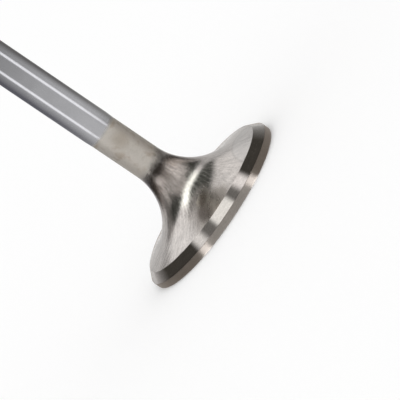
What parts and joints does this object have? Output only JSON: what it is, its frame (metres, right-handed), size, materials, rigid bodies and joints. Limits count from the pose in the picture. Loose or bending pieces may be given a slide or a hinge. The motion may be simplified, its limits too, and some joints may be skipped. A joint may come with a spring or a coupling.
{
  "type": "engine valve",
  "caption": "Poppet valve for a piston engine: a flat round head with a ground seat, swept into a long straight stem with a keeper groove near its tip.",
  "frame": {"origin": "centre of the flat combustion face, which is the lowest face when the valve stands on its head", "axes": "+Z along the stem from the head to the tip; the valve is a body of revolution, so +X and +Y are free"},
  "size_m": [0.0366, 0.0366, 0.112],
  "materials": {
    "valve_steel": "bright ground stem and seat, satin turned neck and underhead"
  },
  "bodies": {
    "root": {"valve": "valve_steel"}
  },
  "joints": []
}
